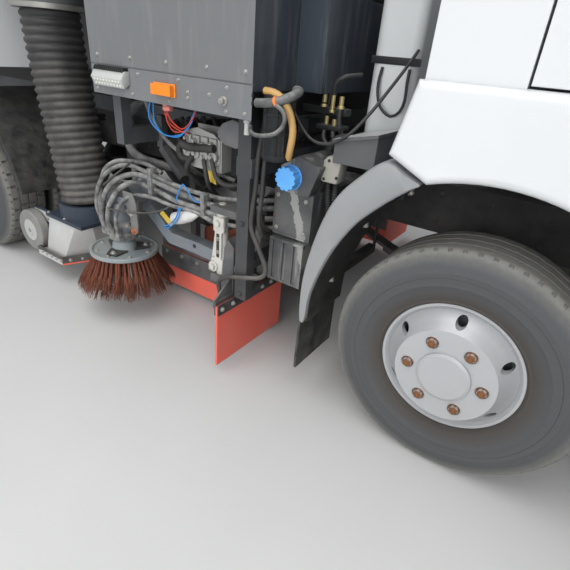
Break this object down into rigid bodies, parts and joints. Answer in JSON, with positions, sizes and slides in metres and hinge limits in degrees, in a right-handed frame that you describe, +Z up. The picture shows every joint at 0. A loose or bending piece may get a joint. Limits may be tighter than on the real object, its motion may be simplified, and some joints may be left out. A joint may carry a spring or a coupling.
{
  "type": "street sweeper truck",
  "caption": "Cab-over street sweeper truck with steering wheels, tilting cab, side brushes, suction nozzles on hoses, wide brush and tipping hopper with rear door.",
  "frame": {"origin": "bottom centre of the whole truck, on the road", "axes": "+X forward, +Y to the truck's left, +Z up"},
  "size_m": [6, 2.614, 2.86],
  "materials": {
    "chassis_black": "satin chassis paint with road dirt",
    "white_paint": "gloss white paint",
    "grey_paint": "dark grey powder coat",
    "silver_wheel": "silver wheel lacquer",
    "tyre_rubber": "dusty tyre rubber",
    "black_plastic": "black moulded plastic",
    "grey_plastic": "grey moulded plastic",
    "blue_plastic": "bright blue plastic",
    "white_plastic": "translucent white plastic",
    "red_rubber": "red sheet rubber",
    "black_rubber": "black rubber",
    "glass": "clear glass",
    "lamp_plastic": "lamp lenses",
    "cast_metal": "dirty grey castings",
    "bristle": "rust-brown bristles",
    "interior": "dark cab trim",
    "chrome_rod": "ground rod",
    "navy_paint": "dark blue-grey paint"
  },
  "bodies": {
    "chassis": {"frame_rails": "chassis_black", "axles_and_springs": "chassis_black", "engine_gearbox": "cast_metal", "front_bumper": "grey_plastic", "lamps": "lamp_plastic", "front_mudguards": "grey_plastic", "rear_mudguards": "black_plastic", "mudflaps": "black_rubber", "side_tanks": "black_plastic", "filler_caps": "blue_plastic", "cab_rear_tray": "grey_plastic", "water_tank": "white_plastic", "sweeper_subframe": "grey_paint", "power_pack_housing": "grey_paint", "sweep_engine": "cast_metal", "hydraulic_block": "cast_metal", "inlet_ducts": "grey_paint", "underrun_bar": "chassis_black", "rubber_flaps": "red_rubber", "suction_hose_left": "black_rubber", "suction_hose_right": "black_rubber"},
    "cab": {"cab_shell": "white_paint", "grille_panel": "black_plastic", "cab_fenders": "white_paint", "cab_glass": "glass", "cab_interior": "interior", "mirrors": "black_plastic", "roof_beacons": "lamp_plastic"},
    "steering_wheel": {"steering_wheel": "black_plastic"},
    "hopper": {"hopper_shell": "white_paint", "hopper_underframe": "chassis_black"},
    "hopper_door": {"hopper_door": "white_paint"},
    "ram_barrel": {"ram_barrel": "chassis_black"},
    "ram_rod": {"ram_rod": "chrome_rod"},
    "wide_brush_arms": {"wide_brush_arms": "navy_paint"},
    "wide_brush": {"wide_brush": "bristle"},
    "knuckle_left": {"knuckle_left": "cast_metal"},
    "brush_pivot_left": {"brush_pivot_left": "cast_metal"},
    "brush_arm_left": {"brush_arm_left": "navy_paint"},
    "channel_brush_left": {"channel_brush_left": "bristle"},
    "nozzle_left": {"nozzle_left": "cast_metal"},
    "nozzle_wheels_left": {"nozzle_wheels_left": "black_rubber"},
    "front_wheel_left": {"front_tyre_left": "tyre_rubber", "front_rim_left": "silver_wheel"},
    "rear_wheels_left": {"rear_tyres_left": "tyre_rubber", "rear_rims_left": "silver_wheel"},
    "cab_door_left": {"cab_door_left": "white_paint", "door_glass_left": "glass"},
    "knuckle_right": {"knuckle_right": "cast_metal"},
    "brush_pivot_right": {"brush_pivot_right": "cast_metal"},
    "brush_arm_right": {"brush_arm_right": "navy_paint"},
    "channel_brush_right": {"channel_brush_right": "bristle"},
    "nozzle_right": {"nozzle_right": "cast_metal"},
    "nozzle_wheels_right": {"nozzle_wheels_right": "black_rubber"},
    "front_wheel_right": {"front_tyre_right": "tyre_rubber", "front_rim_right": "silver_wheel"},
    "rear_wheels_right": {"rear_tyres_right": "tyre_rubber", "rear_rims_right": "silver_wheel"},
    "cab_door_right": {"cab_door_right": "white_paint", "door_glass_right": "glass"}
  },
  "joints": [
    {"name": "cab_tilt", "type": "hinge", "parent": "chassis", "child": "cab", "pos_m": [2.88, 0, 0.755], "axis": [0, 1, 0], "range_deg": [0, 50]},
    {"name": "steering_wheel_turn", "type": "hinge", "parent": "cab", "child": "steering_wheel", "pos_m": [2.34, 0.48, 1.69], "axis": [-0.5736, 0, 0.8191], "range_deg": [-532, 532]},
    {"name": "hopper_tip", "type": "hinge", "parent": "chassis", "child": "hopper", "pos_m": [-2.6, 0, 1.01], "axis": [0, -1, 0], "range_deg": [0, 48]},
    {"name": "hopper_door_swing", "type": "hinge", "parent": "hopper", "child": "hopper_door", "pos_m": [-2.822, 0, 2.805], "axis": [0, 1, 0], "range_deg": [0, 90]},
    {"name": "ram_swing", "type": "hinge", "parent": "chassis", "child": "ram_barrel", "pos_m": [-2.2, 0, 0.745], "axis": [0, -1, 0], "range_deg": [0, 49.96]},
    {"name": "ram_stroke", "type": "slide", "parent": "ram_barrel", "child": "ram_rod", "axis": [0.8916, 0, 0.4528], "range_m": [0, 0.3891]},
    {"name": "wide_brush_lift", "type": "hinge", "parent": "chassis", "child": "wide_brush_arms", "pos_m": [0.74, 0, 0.545], "axis": [0, -1, 0], "range_deg": [0, 18]},
    {"name": "wide_brush_spin", "type": "hinge", "parent": "wide_brush_arms", "child": "wide_brush", "pos_m": [0.36, 0, 0.345], "axis": [0, 1, 0], "continuous": true},
    {"name": "steer_left", "type": "hinge", "parent": "chassis", "child": "knuckle_left", "pos_m": [1.7, 0.8, 0.421], "axis": [0, 0, 1], "range_deg": [-38, 38]},
    {"name": "front_spin_left", "type": "hinge", "parent": "knuckle_left", "child": "front_wheel_left", "pos_m": [1.7, 0.952, 0.421], "axis": [0, 1, 0], "continuous": true},
    {"name": "rear_spin_left", "type": "hinge", "parent": "chassis", "child": "rear_wheels_left", "pos_m": [-1.32, 0.913, 0.421], "axis": [0, 1, 0], "continuous": true},
    {"name": "door_left", "type": "hinge", "parent": "cab", "child": "cab_door_left", "pos_m": [2.715, 1.062, 1.6], "axis": [0, 0, -1], "range_deg": [0, 70]},
    {"name": "brush_swing_left", "type": "hinge", "parent": "chassis", "child": "brush_pivot_left", "pos_m": [0.645, 1, 0.54], "axis": [0, 0, -1], "range_deg": [0, 32]},
    {"name": "brush_lift_left", "type": "hinge", "parent": "brush_pivot_left", "child": "brush_arm_left", "pos_m": [0.62, 0.93, 0.43], "axis": [0, -1, 0], "range_deg": [0, 7]},
    {"name": "brush_spin_left", "type": "hinge", "parent": "brush_arm_left", "child": "channel_brush_left", "pos_m": [0.015, 1.055, 0.335], "axis": [0, 0, 1], "continuous": true},
    {"name": "nozzle_lift_left", "type": "slide", "parent": "chassis", "child": "nozzle_left", "axis": [0, 0, -1], "range_m": [0, 0.115], "deforming": ["suction_hose_left"]},
    {"name": "nozzle_wheel_spin_left", "type": "hinge", "parent": "nozzle_left", "child": "nozzle_wheels_left", "pos_m": [-0.747, 0.9, 0.25], "axis": [0, 1, 0], "continuous": true},
    {"name": "steer_right", "type": "hinge", "parent": "chassis", "child": "knuckle_right", "pos_m": [1.7, -0.8, 0.421], "axis": [0, 0, 1], "range_deg": [-38, 38]},
    {"name": "front_spin_right", "type": "hinge", "parent": "knuckle_right", "child": "front_wheel_right", "pos_m": [1.7, -0.952, 0.421], "axis": [0, 1, 0], "continuous": true},
    {"name": "rear_spin_right", "type": "hinge", "parent": "chassis", "child": "rear_wheels_right", "pos_m": [-1.32, -0.913, 0.421], "axis": [0, 1, 0], "continuous": true},
    {"name": "door_right", "type": "hinge", "parent": "cab", "child": "cab_door_right", "pos_m": [2.715, -1.062, 1.6], "axis": [0, 0, 1], "range_deg": [0, 70]},
    {"name": "brush_swing_right", "type": "hinge", "parent": "chassis", "child": "brush_pivot_right", "pos_m": [0.645, -1, 0.54], "axis": [0, 0, 1], "range_deg": [0, 32]},
    {"name": "brush_lift_right", "type": "hinge", "parent": "brush_pivot_right", "child": "brush_arm_right", "pos_m": [0.62, -0.93, 0.43], "axis": [0, -1, 0], "range_deg": [0, 7]},
    {"name": "brush_spin_right", "type": "hinge", "parent": "brush_arm_right", "child": "channel_brush_right", "pos_m": [0.015, -1.055, 0.335], "axis": [0, 0, 1], "continuous": true},
    {"name": "nozzle_lift_right", "type": "slide", "parent": "chassis", "child": "nozzle_right", "axis": [0, 0, -1], "range_m": [0, 0.115], "deforming": ["suction_hose_right"]},
    {"name": "nozzle_wheel_spin_right", "type": "hinge", "parent": "nozzle_right", "child": "nozzle_wheels_right", "pos_m": [-0.747, -0.9, 0.25], "axis": [0, 1, 0], "continuous": true}
  ],
  "couplings": [
    {"joint": "steer_right", "follows": "steer_left", "ratio": 1},
    {"joint": "steering_wheel_turn", "follows": "steer_left", "ratio": 14},
    {"joint": "ram_swing", "follows": "hopper_tip", "ratio": 1.0407},
    {"joint": "ram_stroke", "follows": "hopper_tip", "m_per_rad": 0.46445}
  ]
}
